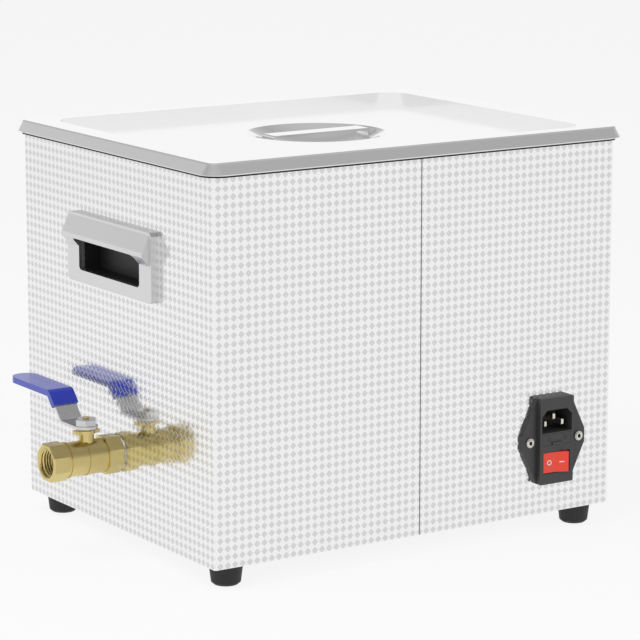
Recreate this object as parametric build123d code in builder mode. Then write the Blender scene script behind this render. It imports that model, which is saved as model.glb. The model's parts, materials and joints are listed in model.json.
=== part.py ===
# Bench ultrasonic cleaner: pressed tank in a folded stainless housing, lid with a sunk strap
# handle, drain ball valve on the right side and a switched power inlet at the rear.
# Everything is drawn about the housing's own upright axis, with the floor at z = 0, X to the
# right seen from the front and Y to the rear. The finished pieces are then shifted along X,
# so that the origin lies under the middle of the whole footprint, valve included.
import os
from math import asin, atan2, cos, degrees, radians, sin, sqrt, tan

from build123d import *

# ---------------------------------------------------------------- driving sizes, millimetres
housing_width = 308.0
housing_depth = 242.0
housing_height = 245.0
housing_sheet = 0.8
fold_radius = 1.8
top_flange_gap = 1.5        # between the tank wall and the housing's turned-in top edge
bottom_flange = 24.0        # width of the turned-in bottom edge
seam_width = 0.5
seam_depth = 0.45

foot_height = 14.0
foot_top_radius = 11.0
foot_bottom_radius = 9.25
foot_inset_x = 17.0
foot_inset_y = 15.0
foot_recess_radius = 5.0
foot_web = 5.0              # rubber left above the screw recess

base_sheet = 1.2
screw_spacing = 140.0       # along the front and rear edges of the base
base_margin = 3.0           # base plate edge to the housing's inner face
vent_length = 34.0
vent_width = 4.0

gasket_height = 1.2
gasket_overhang = 4.0
gasket_corner = 12.0

tank_width = 282.0          # inside
tank_depth_y = 226.0        # inside
tank_deep = 150.0           # flange top to inner floor
tank_sheet = 0.8
tank_corner = 20.0
tank_floor_radius = 12.0
tank_flange_overhang = 5.0

lid_sheet = 0.8
lid_height = 6.9
lid_lip_overhang = 5.8
lid_draft = 4.0             # how far the skirt leans in over its height
lid_lip_corner = 9.0
lid_fold_radius = 1.8
tray_margin = 2.0           # tank wall to the outside of the lid's sunk tray, per side
tray_depth = 6.4
dish_radius = 46.5
dish_depth = 12.0
strap_length = 76.0
strap_width = 14.0
strap_thick = 1.5
strap_rise = 1.0            # strap top above the tray floor
strap_foot = 5.0

valve_height = 50.5         # valve axis above the housing's lower edge
valve_washer_thick = 0.5
octagon_flats = 24.0
valve_inner_octagon = 11.3
valve_barrel_radius = 11.25
valve_ring_radius = 11.8
valve_ring_width = 1.2
valve_ring_places = (25.1, 38.0)
valve_outer_octagon = 40.9  # panel to the start of the outer octagon
valve_reach = 52.2          # panel to the valve's outer face
valve_thread_radius = 9.3
valve_thread_length = 11.0
valve_passage_radius = 5.5
valve_cavity_radius = 9.0
stem_reach = 22.7           # panel to the stem axis
ball_radius = 8.5
ball_bore_radius = 5.0
ball_clearance = 0.06
stem_radius = 3.0
stem_clearance = 0.05
stem_collar_radius = 4.0
neck_radius = 5.0
neck_height = 18.0          # above the valve axis
lug_span = 17.4
lug_thick = 2.0

lever_thick = 1.6
lever_width = 15.5
lever_gap = 1.5             # neck to the lever plate
lever_bend_1 = 19.6         # stem axis to the first bend
lever_rise = 16.3
lever_slope = 48.0          # degrees
lever_reach = 89.0
lever_bend_radius = 4.0
sleeve_wall = 1.2
sleeve_start = 27.5
lever_nut_flats = 12.5
lever_nut_thick = 4.5

spout_x = 95.0
spout_radius = 7.5
spout_bore = 5.5
hose_radius = 10.5
hose_bend = 30.0
clamp_thick = 1.2
clamp_width = 9.0

handle_height = 176.0       # middle of the opening above the housing's lower edge
bezel_width = 108.0
bezel_height = 45.0
bezel_rise = 3.5            # bezel middle above the opening's middle
bezel_thick = 4.5
hood_reach = 10.0
grip_width = 78.0
grip_height = 21.5
pocket_wall = 1.5
pocket_depth = 10.0
pocket_lift = 7.0           # how far the pocket runs up behind the hood
pocket_clearance = 0.5

inlet_x = -105.6
inlet_height = 50.0
inlet_flange_height = 58.0
inlet_flange_width = 51.0
inlet_block_width = 27.4
inlet_flange_thick = 2.8
inlet_block_thick = 3.5
inlet_back_height = 47.0
inlet_back_depth = 30.0
inlet_screw_pitch = 40.0
socket_width = 24.5
socket_height = 15.2
socket_depth = 18.0
socket_rise = 13.2          # socket middle above the module's middle
drawer_width = 23.4
drawer_height = 7.6
drawer_rise = 0.9
drawer_deep = 19.0
rocker_window_width = 21.7
rocker_window_height = 14.4
rocker_drop = 14.7
rocker_tilt = 11.0          # degrees, half of the rocker's throw
slide_clearance = 0.15

panel_width = 150.0
panel_height = 62.0
panel_thick = 3.0
panel_middle = 52.0         # above the housing's lower edge
panel_cutout_width = 128.0
panel_cutout_height = 50.0
window_width = 84.0
window_height = 20.0
window_rise = 12.0
button_count = 6
button_width = 14.0
button_height = 9.0
button_pitch = 20.0
button_drop = 13.0
button_proud = 1.2
button_travel = 1.0
board_thick = 1.6
board_reach = 6.4           # panel face to the control board

transducer_pitch_x = 118.0
transducer_pitch_y = 104.0
transducer_shift_x = -28.0
front_mass_radius = 26.0
front_mass_height = 22.0
back_mass_radius = 19.0
back_mass_height = 18.0
piezo_thick = 5.0
electrode_gap = 0.2

generator_width = 150.0
generator_depth = 90.0
generator_x = -45.0
generator_y = -40.0
standoff_height = 8.0

# ---------------------------------------------------------------- levels and places
half_width = housing_width / 2
half_depth = housing_depth / 2
base_z = foot_height
rim_z = base_z + housing_height
flange_z = rim_z + gasket_height
flange_top = flange_z + tank_sheet
tank_floor = flange_top - tank_deep
lid_top = flange_top + lid_height
tray_floor = lid_top - tray_depth
tray_corner = tank_corner - tray_margin
valve_z = base_z + valve_height
stem_x = half_width + stem_reach
handle_z = base_z + handle_height
inlet_z = base_z + inlet_height
panel_z = base_z + panel_middle
base_top = base_z + housing_sheet + base_sheet
foot_x = half_width - foot_inset_x
foot_y = half_depth - foot_inset_y
foot_points = [(sx * foot_x, sy * foot_y) for sx in (-1, 1) for sy in (-1, 1)]
screw_line_x = half_width - bottom_flange / 2
screw_line_y = half_depth - bottom_flange / 2
base_screw_points = [(sx * screw_line_x, 0.0) for sx in (-1, 1)]
base_screw_points += [(sx * screw_spacing / 2, sy * screw_line_y) for sx in (-1, 1) for sy in (-1, 1)]

right_face = Plane(origin=(half_width, 0, 0), x_dir=(0, 1, 0), z_dir=(1, 0, 0))
rear_face = Plane(origin=(0, half_depth, 0), x_dir=(-1, 0, 0), z_dir=(0, 1, 0))
front_face = Plane(origin=(0, -half_depth, 0), x_dir=(1, 0, 0), z_dir=(0, -1, 0))
valve_plane = Plane(origin=(half_width, 0, valve_z), x_dir=(0, 1, 0), z_dir=(1, 0, 0))
inlet_plane = Plane(origin=(inlet_x, half_depth, inlet_z), x_dir=(-1, 0, 0), z_dir=(0, 1, 0))
panel_plane = Plane(origin=(0, -half_depth, panel_z), x_dir=(1, 0, 0), z_dir=(0, -1, 0))
stem_plane = Plane(origin=(stem_x, 0, valve_z))

footprint_shift = (lid_lip_overhang - valve_reach) / 2
pieces = {}

# ---------------------------------------------------------------- housing and base
grip_half_height = grip_height / 2
pocket_low = handle_z - grip_half_height
pocket_high = handle_z + grip_half_height + pocket_lift
pocket_middle = (pocket_low + pocket_high) / 2
pocket_outer_width = grip_width - 4.0 + 2 * pocket_wall
pocket_outer_height = pocket_high - pocket_low + 2 * pocket_wall
bezel_z = handle_z + bezel_rise
handle_screw_y = bezel_width / 2 - 8.0
handle_screw_rise = bezel_height / 2 - 5.5
handle_screw_points = [(sy * handle_screw_y, bezel_z - handle_screw_rise) for sy in (-1, 1)]
handle_screw_radius = 1.5
panel_stud_x = panel_width / 2 - 6.0
panel_stud_y = panel_height / 2 - 5.0
panel_stud_radius = 1.5
foot_screw_radius = 2.0
base_screw_radius = 1.5
inlet_screw_radius = 1.5
hole_clearance = 0.2

with BuildPart() as housing_shell:
    with BuildSketch(Plane.XY.offset(base_z)):
        RectangleRounded(housing_width, housing_depth, fold_radius)
    extrude(amount=housing_height)
    with BuildSketch(Plane.XY.offset(base_z + housing_sheet)):
        RectangleRounded(
            housing_width - 2 * housing_sheet,
            housing_depth - 2 * housing_sheet,
            fold_radius - housing_sheet,
        )
    extrude(amount=housing_height - 2 * housing_sheet, mode=Mode.SUBTRACT)
    # the mouth that the tank hangs in
    with BuildSketch(Plane.XY.offset(rim_z - housing_sheet)):
        RectangleRounded(
            tank_width + 2 * (tank_sheet + top_flange_gap),
            tank_depth_y + 2 * (tank_sheet + top_flange_gap),
            tank_corner,
        )
    extrude(amount=housing_sheet, mode=Mode.SUBTRACT)
    # the open underside inside the turned-in bottom edge
    with BuildSketch(Plane.XY.offset(base_z)):
        Rectangle(housing_width - 2 * bottom_flange, housing_depth - 2 * bottom_flange)
    extrude(amount=housing_sheet, mode=Mode.SUBTRACT)
    with BuildSketch(Plane.XY.offset(base_z)):
        with Locations(*foot_points):
            Circle(foot_screw_radius + hole_clearance)
        with Locations(*base_screw_points):
            Circle(base_screw_radius + hole_clearance)
    extrude(amount=housing_sheet, mode=Mode.SUBTRACT)
    # grip openings in both ends
    with BuildSketch(right_face):
        with Locations((0, pocket_middle)):
            Rectangle(
                pocket_outer_width + 2 * pocket_clearance, pocket_outer_height + 2 * pocket_clearance
            )
        with Locations(*handle_screw_points):
            Circle(handle_screw_radius + hole_clearance)
    extrude(amount=-housing_width, mode=Mode.SUBTRACT)
    with BuildSketch(valve_plane):
        Circle(valve_thread_radius + 2 * hole_clearance)
    extrude(amount=-2 * housing_sheet, mode=Mode.SUBTRACT)
    with BuildSketch(inlet_plane):
        Rectangle(inlet_block_width + 2 * hole_clearance, inlet_back_height + 2 * hole_clearance)
        with GridLocations(inlet_screw_pitch, 0, 2, 1):
            Circle(inlet_screw_radius + hole_clearance)
    extrude(amount=-2 * housing_sheet, mode=Mode.SUBTRACT)
    with BuildSketch(panel_plane):
        Rectangle(panel_cutout_width, panel_cutout_height)
        with GridLocations(2 * panel_stud_x, 2 * panel_stud_y, 2, 2):
            Circle(panel_stud_radius + hole_clearance)
    extrude(amount=-2 * housing_sheet, mode=Mode.SUBTRACT)
    # the rear seam, where the ends of the wrapped sheet meet
    with BuildSketch(Plane.XY.offset(base_z)):
        with Locations((0, half_depth - seam_depth / 2)):
            Rectangle(seam_width, seam_depth)
    extrude(amount=housing_height, mode=Mode.SUBTRACT)
pieces["housing_shell"] = housing_shell

with BuildPart() as base_plate:
    with BuildSketch(Plane.XY.offset(base_z + housing_sheet)):
        Rectangle(
            housing_width - 2 * (housing_sheet + base_margin),
            housing_depth - 2 * (housing_sheet + base_margin),
        )
        with Locations(*foot_points):
            Circle(foot_screw_radius + hole_clearance, mode=Mode.SUBTRACT)
        with Locations(*base_screw_points):
            Circle(base_screw_radius, mode=Mode.SUBTRACT)
        with Locations((85, 0)):
            with GridLocations(0, 12, 1, 4):
                SlotOverall(vent_length, vent_width, mode=Mode.SUBTRACT)
    extrude(amount=base_sheet)
pieces["base_plate"] = base_plate


def pan_screw(head_radius, head_height, shank_radius, shank_length):
    """A pan-head screw standing on its head's seat at z = 0, shank upwards."""
    with BuildPart() as screw:
        Cylinder(head_radius, head_height, align=(Align.CENTER, Align.CENTER, Align.MAX))
        Cylinder(shank_radius, shank_length, align=(Align.CENTER, Align.CENTER, Align.MIN))
    return screw.part


with BuildPart() as base_screws:
    with Locations(*[(x, y, base_z) for x, y in base_screw_points]):
        add(pan_screw(2.9, 2.2, base_screw_radius, 8.0))
pieces["base_screws"] = base_screws

with BuildPart() as rubber_feet:
    with BuildSketch():
        with Locations(*foot_points):
            Circle(foot_bottom_radius)
    extrude(amount=foot_height, taper=-degrees(atan2(foot_top_radius - foot_bottom_radius, foot_height)))
    chamfer(rubber_feet.faces().filter_by(Axis.Z).group_by(Axis.Z)[0].edges(), 1.6)
    with BuildSketch():
        with Locations(*foot_points):
            Circle(foot_recess_radius)
    extrude(amount=foot_height - foot_web, mode=Mode.SUBTRACT)
    with BuildSketch():
        with Locations(*foot_points):
            Circle(foot_screw_radius + hole_clearance)
    extrude(amount=foot_height, mode=Mode.SUBTRACT)
pieces["rubber_feet"] = rubber_feet

with BuildPart() as foot_screws:
    foot_seat = foot_height - foot_web
    with Locations(*[(x, y, foot_seat) for x, y in foot_points]):
        add(pan_screw(3.8, 2.6, foot_screw_radius, base_top - foot_seat + 6.0))
pieces["foot_screws"] = foot_screws

with BuildPart() as foot_nuts:
    with BuildSketch(Plane.XY.offset(base_top)):
        with Locations(*foot_points):
            RegularPolygon(3.5, 6, major_radius=False)
            Circle(foot_screw_radius, mode=Mode.SUBTRACT)
    extrude(amount=3.2)
pieces["foot_nuts"] = foot_nuts

# ---------------------------------------------------------------- tank
with BuildPart() as tank_gasket:
    with BuildSketch(Plane.XY.offset(rim_z)):
        RectangleRounded(
            housing_width + 2 * gasket_overhang, housing_depth + 2 * gasket_overhang, gasket_corner
        )
        RectangleRounded(
            tank_width + 2 * (tank_sheet + top_flange_gap),
            tank_depth_y + 2 * (tank_sheet + top_flange_gap),
            tank_corner,
            mode=Mode.SUBTRACT,
        )
    extrude(amount=gasket_height)
pieces["tank_gasket"] = tank_gasket

with BuildPart() as tank:
    with BuildSketch(Plane.XY.offset(tank_floor - tank_sheet)):
        RectangleRounded(
            tank_width + 2 * tank_sheet, tank_depth_y + 2 * tank_sheet, tank_corner + tank_sheet
        )
    extrude(amount=tank_deep + tank_sheet)
    fillet(tank.faces().sort_by(Axis.Z)[0].edges(), tank_floor_radius + tank_sheet)
    offset(amount=-tank_sheet, openings=tank.faces().sort_by(Axis.Z)[-1])
    with BuildSketch(Plane.XY.offset(flange_z)):
        RectangleRounded(
            housing_width + 2 * tank_flange_overhang,
            housing_depth + 2 * tank_flange_overhang,
            gasket_corner + tank_flange_overhang - gasket_overhang,
        )
        RectangleRounded(tank_width, tank_depth_y, tank_corner, mode=Mode.SUBTRACT)
    extrude(amount=tank_sheet)
    with BuildSketch(Plane.XY.offset(tank_floor)):
        with Locations((spout_x, 0)):
            Circle(spout_bore)
    extrude(amount=-2 * tank_sheet, mode=Mode.SUBTRACT)
pieces["tank"] = tank

tank_outer_floor = tank_floor - tank_sheet
transducer_points = [
    (transducer_shift_x + sx * transducer_pitch_x / 2, sy * transducer_pitch_y / 2)
    for sx in (-1, 1)
    for sy in (-1, 1)
]
piezo_top = tank_outer_floor - front_mass_height
back_mass_top = piezo_top - 2 * piezo_thick
back_mass_bottom = back_mass_top - back_mass_height

with BuildPart() as transducer_front_masses:
    with BuildSketch(Plane.XY.offset(tank_outer_floor)) as front_mass_top:
        with Locations(*transducer_points):
            Circle(front_mass_radius)
    extrude(
        amount=-front_mass_height,
        taper=degrees(atan2(front_mass_radius - back_mass_radius, front_mass_height)),
    )
pieces["transducer_front_masses"] = transducer_front_masses

with BuildPart() as piezo_rings:
    for level in (piezo_top, piezo_top - piezo_thick):
        with BuildSketch(Plane.XY.offset(level)):
            with Locations(*transducer_points):
                Circle(back_mass_radius)
                Circle(back_mass_radius * 0.4, mode=Mode.SUBTRACT)
        extrude(amount=-piezo_thick + electrode_gap)
pieces["piezo_rings"] = piezo_rings

with BuildPart() as transducer_back_masses:
    with BuildSketch(Plane.XY.offset(back_mass_top)):
        with Locations(*transducer_points):
            Circle(back_mass_radius)
            Circle(5.2, mode=Mode.SUBTRACT)
    extrude(amount=-back_mass_height)
pieces["transducer_back_masses"] = transducer_back_masses

with BuildPart() as transducer_bolts:
    with BuildSketch(Plane.XY.offset(back_mass_bottom)):
        with Locations(*transducer_points):
            RegularPolygon(8.0, 6, major_radius=False)
    extrude(amount=-6.0)
    with BuildSketch(Plane.XY.offset(back_mass_bottom)):
        with Locations(*transducer_points):
            Circle(5.0)
    extrude(amount=piezo_top - back_mass_bottom)
pieces["transducer_bolts"] = transducer_bolts

with BuildPart() as heater_pads:
    for side in (-1, 1):
        with BuildSketch(Plane.XZ.offset(side * (tank_depth_y / 2 + tank_sheet))):
            with Locations((0, tank_floor + 48.0)):
                RectangleRounded(170.0, 56.0, 4.0)
        extrude(amount=side * 2.4)
pieces["heater_pads"] = heater_pads

with BuildPart() as temperature_sensor:
    with BuildSketch(Plane.YZ.offset(-tank_width / 2 - tank_sheet)):
        with Locations((40.0, tank_floor + 30.0)):
            RectangleRounded(22.0, 12.0, 3.0)
    extrude(amount=-3.0)
pieces["temperature_sensor"] = temperature_sensor

# ---------------------------------------------------------------- drain line
elbow_start_z = valve_z + hose_bend
hose_end_x = spout_x + hose_bend
bend_flat = hose_bend * (1 - sin(radians(45.0)))
spout_drop = tank_outer_floor - elbow_start_z - 0.3
nipple_barb_start = hose_end_x + 2.0
hose_mouth_x = nipple_barb_start + 16.0

with BuildPart() as drain_spout:
    with Locations((spout_x, 0, tank_outer_floor)):
        Cylinder(12.0, 2.0, align=(Align.CENTER, Align.CENTER, Align.MAX))
        Cylinder(spout_radius, spout_drop, align=(Align.CENTER, Align.CENTER, Align.MAX))
        Cylinder(
            spout_bore, spout_drop, align=(Align.CENTER, Align.CENTER, Align.MAX), mode=Mode.SUBTRACT
        )
pieces["drain_spout"] = drain_spout

with BuildPart() as drain_hose:
    with BuildLine() as hose_path:
        Polyline(
            (spout_x, 0, tank_outer_floor - 4.0),
            (spout_x, 0, elbow_start_z),
            (spout_x + bend_flat, 0, valve_z + bend_flat),
            (hose_end_x, 0, valve_z),
            (hose_mouth_x, 0, valve_z),
        )
    with BuildSketch(Plane(origin=hose_path.line @ 0, z_dir=hose_path.line % 0)):
        Circle(hose_radius)
        Circle(spout_radius, mode=Mode.SUBTRACT)
    sweep(path=hose_path.line, transition=Transition.RIGHT)
pieces["drain_hose"] = drain_hose


def hose_clamp():
    """A worm-drive clamp lying round z, with its screw housing on +X."""
    with BuildPart() as clamp:
        Cylinder(hose_radius + clamp_thick, clamp_width)
        Cylinder(hose_radius, clamp_width, mode=Mode.SUBTRACT)
        with Locations((hose_radius + clamp_thick + 2.0, 0, 0)):
            Box(6.0, 12.0, clamp_width + 1.0)
        Cylinder(hose_radius, clamp_width + 2.0, mode=Mode.SUBTRACT)
    return clamp.part


with BuildPart() as hose_clamps:
    with Locations(Location((spout_x, 0, tank_outer_floor - 9.0), (0, 0, 90))):
        add(hose_clamp())
    with Locations(Location((hose_mouth_x - 7.0, 0, valve_z), (0, 90, 0))):
        add(hose_clamp())
pieces["hose_clamps"] = hose_clamps

panel_inner_x = half_width - housing_sheet
locknut_thick = 6.0
with BuildPart() as drain_nipple:
    with BuildSketch(Plane.YZ.offset(nipple_barb_start)):
        with Locations((0, valve_z)):
            Circle(spout_radius)
    extrude(amount=half_width - locknut_thick - nipple_barb_start)
    with BuildSketch(Plane.YZ.offset(half_width - locknut_thick - 4.0)):
        with Locations((0, valve_z)):
            Circle(valve_thread_radius - 0.05)
    extrude(amount=locknut_thick + 4.0 + valve_washer_thick + valve_thread_length - 1.0)
    with BuildSketch(Plane.YZ.offset(nipple_barb_start)):
        with Locations((0, valve_z)):
            Circle(valve_passage_radius)
    extrude(amount=half_width, mode=Mode.SUBTRACT)
pieces["drain_nipple"] = drain_nipple

with BuildPart() as nipple_locknut:
    with BuildSketch(Plane.YZ.offset(panel_inner_x)):
        with Locations((0, valve_z)):
            RegularPolygon(13.5, 6, major_radius=False)
            Circle(valve_thread_radius, mode=Mode.SUBTRACT)
    extrude(amount=-locknut_thick)
pieces["nipple_locknut"] = nipple_locknut

with BuildPart() as valve_washer:
    with BuildSketch(valve_plane):
        Circle(octagon_flats / 2 - 0.4)
        Circle(valve_thread_radius, mode=Mode.SUBTRACT)
    extrude(amount=valve_washer_thick)
pieces["valve_washer"] = valve_washer

# ---------------------------------------------------------------- drain ball valve
seat_back = stem_reach - 10.5       # panel to the back of the inner seat
seat_front = stem_reach + 10.5
cap_start = valve_ring_places[1] - valve_ring_width / 2
inner_end = valve_washer_thick + valve_thread_length - 1.0


def octagon():
    """The octagon on the valve's ends, a flat to each side and one on top."""
    return RegularPolygon(octagon_flats / 2, 8, major_radius=False, rotation=22.5)


with BuildPart() as valve_body:
    with BuildSketch(valve_plane.offset(valve_washer_thick)):
        octagon()
    extrude(amount=valve_inner_octagon)
    chamfer(valve_body.faces().sort_by(Axis.X)[0].outer_wire().edges(), 0.8)
    with BuildSketch(valve_plane.offset(valve_washer_thick + valve_inner_octagon)):
        Circle(valve_barrel_radius)
    extrude(amount=cap_start - valve_washer_thick - valve_inner_octagon)
    with BuildSketch(valve_plane.offset(valve_ring_places[0] - valve_ring_width / 2)):
        Circle(valve_ring_radius)
    extrude(amount=valve_ring_width)
    # neck for the stem, with the stop lugs across its top
    with BuildSketch(stem_plane):
        Circle(neck_radius)
    extrude(amount=neck_height)
    with BuildSketch(stem_plane.offset(neck_height - lug_thick)):
        Circle(neck_radius + 1.0)
        RectangleRounded(lug_span, neck_radius * 1.4, 1.5)
    extrude(amount=lug_thick)
    with BuildSketch(valve_plane.offset(valve_washer_thick)):
        Circle(valve_thread_radius)
    extrude(amount=valve_thread_length - 1.0, mode=Mode.SUBTRACT)
    with BuildSketch(valve_plane):
        Circle(valve_passage_radius)
    extrude(amount=stem_reach, mode=Mode.SUBTRACT)
    with BuildSketch(valve_plane.offset(seat_back)):
        Circle(valve_cavity_radius)
    extrude(amount=seat_front - seat_back, mode=Mode.SUBTRACT)
    with BuildSketch(valve_plane.offset(seat_front)):
        Circle(valve_thread_radius)
    extrude(amount=cap_start - seat_front, mode=Mode.SUBTRACT)
    with BuildSketch(stem_plane):
        Circle(stem_radius + stem_clearance)
    extrude(amount=neck_height, mode=Mode.SUBTRACT)
    with BuildSketch(stem_plane):
        Circle(stem_collar_radius + stem_clearance)
    extrude(amount=ball_radius + 1.6, mode=Mode.SUBTRACT)
pieces["valve_body"] = valve_body

with BuildPart() as valve_end_cap:
    with BuildSketch(valve_plane.offset(seat_front)):
        Circle(valve_thread_radius - 0.02)
    extrude(amount=cap_start - seat_front)
    with BuildSketch(valve_plane.offset(cap_start)):
        Circle(valve_ring_radius)
    extrude(amount=valve_ring_width)
    with BuildSketch(valve_plane.offset(cap_start + valve_ring_width)):
        Circle(valve_barrel_radius)
    extrude(amount=valve_outer_octagon - cap_start - valve_ring_width)
    with BuildSketch(valve_plane.offset(valve_outer_octagon)):
        octagon()
    extrude(amount=valve_reach - valve_outer_octagon)
    chamfer(valve_end_cap.faces().sort_by(Axis.X)[-1].outer_wire().edges(), 0.8)
    with BuildSketch(valve_plane.offset(seat_front)):
        Circle(valve_passage_radius)
    extrude(amount=valve_reach, mode=Mode.SUBTRACT)
    with BuildSketch(valve_plane.offset(valve_reach - valve_thread_length)):
        Circle(valve_thread_radius)
    extrude(amount=valve_thread_length, mode=Mode.SUBTRACT)
    chamfer(
        valve_end_cap.faces().sort_by(Axis.X)[-1].inner_wires().edges(), 0.8
    )
pieces["valve_end_cap"] = valve_end_cap

seat_sphere = ball_radius + ball_clearance
seat_outer = valve_cavity_radius - 0.05
seat_lip = sqrt(seat_sphere**2 - (stem_collar_radius + 0.3) ** 2)
with BuildPart() as valve_seats:
    with BuildSketch(Plane.XZ):
        with BuildLine():
            lip_low = (stem_x - sqrt(seat_sphere**2 - valve_passage_radius**2), valve_z + valve_passage_radius)
            lip_high = (stem_x - sqrt(seat_sphere**2 - seat_lip**2), valve_z + seat_lip)
            RadiusArc(lip_low, lip_high, seat_sphere)
            Polyline(
                lip_high,
                (lip_high[0], valve_z + seat_outer),
                (half_width + seat_back, valve_z + seat_outer),
                (half_width + seat_back, valve_z + valve_passage_radius),
                lip_low,
            )
        make_face()
    revolve(axis=Axis((0, 0, valve_z), (1, 0, 0)))
    mirror(about=Plane.YZ.offset(stem_x))
pieces["valve_seats"] = valve_seats

slot_depth = 2.5
blade_thick = 2.4
with BuildPart() as valve_ball:
    with Locations((stem_x, 0, valve_z)):
        Sphere(ball_radius)
    # at rest the lever lies along the panel, so the ball's bore does too and the valve is shut
    with BuildSketch(Plane.XZ.offset(-ball_radius)):
        with Locations((stem_x, valve_z)):
            Circle(ball_bore_radius)
    extrude(amount=2 * ball_radius, mode=Mode.SUBTRACT)
    with Locations((stem_x, 0, valve_z + ball_radius)):
        Box(2 * ball_radius, blade_thick + 0.1, 2 * slot_depth, mode=Mode.SUBTRACT)
pieces["valve_ball"] = valve_ball

lever_low = neck_height + lever_gap
square_side = 4.2
with BuildPart() as valve_stem:
    with BuildSketch(stem_plane.offset(ball_radius + 0.1)):
        Circle(stem_collar_radius)
    extrude(amount=1.4)
    with BuildSketch(stem_plane.offset(ball_radius + 0.1)):
        Circle(stem_radius)
    extrude(amount=lever_low - ball_radius - 0.1)
    with BuildSketch(stem_plane.offset(lever_low)):
        Rectangle(square_side, square_side)
    extrude(amount=lever_thick)
    with BuildSketch(stem_plane.offset(lever_low + lever_thick)):
        Circle(square_side / 2)
    extrude(amount=lever_nut_thick + 0.9)
    with BuildSketch(stem_plane.offset(ball_radius - slot_depth + 0.05)):
        Rectangle(2 * stem_radius - 0.6, blade_thick)
    extrude(amount=slot_depth + 0.1)
pieces["valve_stem"] = valve_stem

# ---------------------------------------------------------------- lever
lever_mid = valve_z + lever_low + lever_thick / 2
lever_run = lever_rise / tan(radians(lever_slope))
lever_path = [
    (lever_width / 2, lever_mid),
    (-lever_bend_1, lever_mid),
    (-lever_bend_1 - lever_run, lever_mid + lever_rise),
    (-lever_reach, lever_mid + lever_rise),
]


def lever_outline(width, reach):
    """Plan outline of the lever, rounded at the stem and at the tip."""
    half = width / 2
    with Locations((stem_x, (half - reach) / 2)):
        return SlotOverall(reach + half, width, rotation=90)


with BuildPart() as lever_arm:
    with BuildSketch(Plane.YZ.offset(stem_x)):
        with BuildLine():
            FilletPolyline(*lever_path, radius=lever_bend_radius)
        trace(line_width=lever_thick)
    extrude(amount=lever_width / 2, both=True)
    with BuildSketch(Plane.XY.offset(valve_z)):
        lever_outline(lever_width, lever_reach)
    extrude(amount=2 * lever_reach, mode=Mode.INTERSECT)
    with BuildSketch(stem_plane.offset(neck_height)):
        Rectangle(square_side, square_side)
    extrude(amount=2 * lever_gap + lever_thick, mode=Mode.SUBTRACT)
pieces["lever_arm"] = lever_arm

sleeve_start_z = lever_mid + (sleeve_start - lever_bend_1) * tan(radians(lever_slope))
with BuildPart() as lever_sleeve:
    with BuildSketch(Plane.YZ.offset(stem_x)):
        with BuildLine():
            FilletPolyline(
                (-sleeve_start, sleeve_start_z),
                lever_path[2],
                (-lever_reach - sleeve_wall, lever_path[3][1]),
                radius=lever_bend_radius,
            )
        trace(line_width=lever_thick + 2 * sleeve_wall)
    extrude(amount=lever_width / 2 + sleeve_wall, both=True)
    with BuildSketch(Plane.XY.offset(valve_z)):
        lever_outline(lever_width + 2 * sleeve_wall, lever_reach + sleeve_wall)
    extrude(amount=2 * lever_reach, mode=Mode.INTERSECT)
    add(lever_arm.part, mode=Mode.SUBTRACT)
pieces["lever_sleeve"] = lever_sleeve

with BuildPart() as lever_nut:
    with BuildSketch(stem_plane.offset(lever_low + lever_thick)):
        RegularPolygon(lever_nut_flats / 2, 6, major_radius=False)
        Circle(square_side / 2, mode=Mode.SUBTRACT)
    extrude(amount=lever_nut_thick)
    chamfer(lever_nut.faces().sort_by(Axis.Z)[-1].outer_wire().edges(), 0.5)
pieces["lever_nut"] = lever_nut

# ---------------------------------------------------------------- carrying handles
with BuildPart() as handle_bezel:
    with BuildSketch(right_face):
        with Locations((0, bezel_z)):
            RectangleRounded(bezel_width, bezel_height, 3.0)
    extrude(amount=bezel_thick)
    # the hood: a sloping brow over the opening
    hood_low = handle_z + grip_half_height
    hood_high = bezel_z + bezel_height / 2 - 1.5
    with BuildSketch(Plane.XZ.offset(-bezel_width / 2 + 2.0)) as hood_side:
        with BuildLine():
            Polyline(
                (half_width, hood_low - 6.0),
                (half_width + bezel_thick, hood_low - 6.0),
                (half_width + hood_reach, hood_low),
                (half_width + hood_reach, hood_low + 2.5),
                (half_width + bezel_thick, hood_high),
                (half_width, hood_high),
                close=True,
            )
        make_face()
    extrude(amount=bezel_width - 4.0)
    fillet(handle_bezel.edges().filter_by(Axis.Y).group_by(Axis.X)[-1].sort_by(Axis.Z)[-1], 2.2)
    # finger opening
    with BuildSketch(right_face):
        with Locations((0, handle_z)):
            RectangleRounded(grip_width, grip_height, 3.0)
    extrude(amount=2 * hood_reach, mode=Mode.SUBTRACT)
    # hollow behind the hood
    with BuildSketch(right_face):
        with Locations((0, pocket_middle)):
            Rectangle(pocket_outer_width - 2 * pocket_wall, pocket_high - pocket_low)
    extrude(amount=bezel_thick - 1.0, mode=Mode.SUBTRACT)
    # seat for the pocket's flange
    with BuildSketch(right_face):
        with Locations((0, pocket_middle)):
            Rectangle(pocket_outer_width + 2 * 3.0, pocket_outer_height + 2 * 2.0)
    extrude(amount=pocket_wall, mode=Mode.SUBTRACT)
    with BuildSketch(right_face):
        with Locations(*handle_screw_points):
            Circle(handle_screw_radius)
    extrude(amount=bezel_thick - 1.5, mode=Mode.SUBTRACT)
pieces["handle_bezel_right"] = handle_bezel

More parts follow.
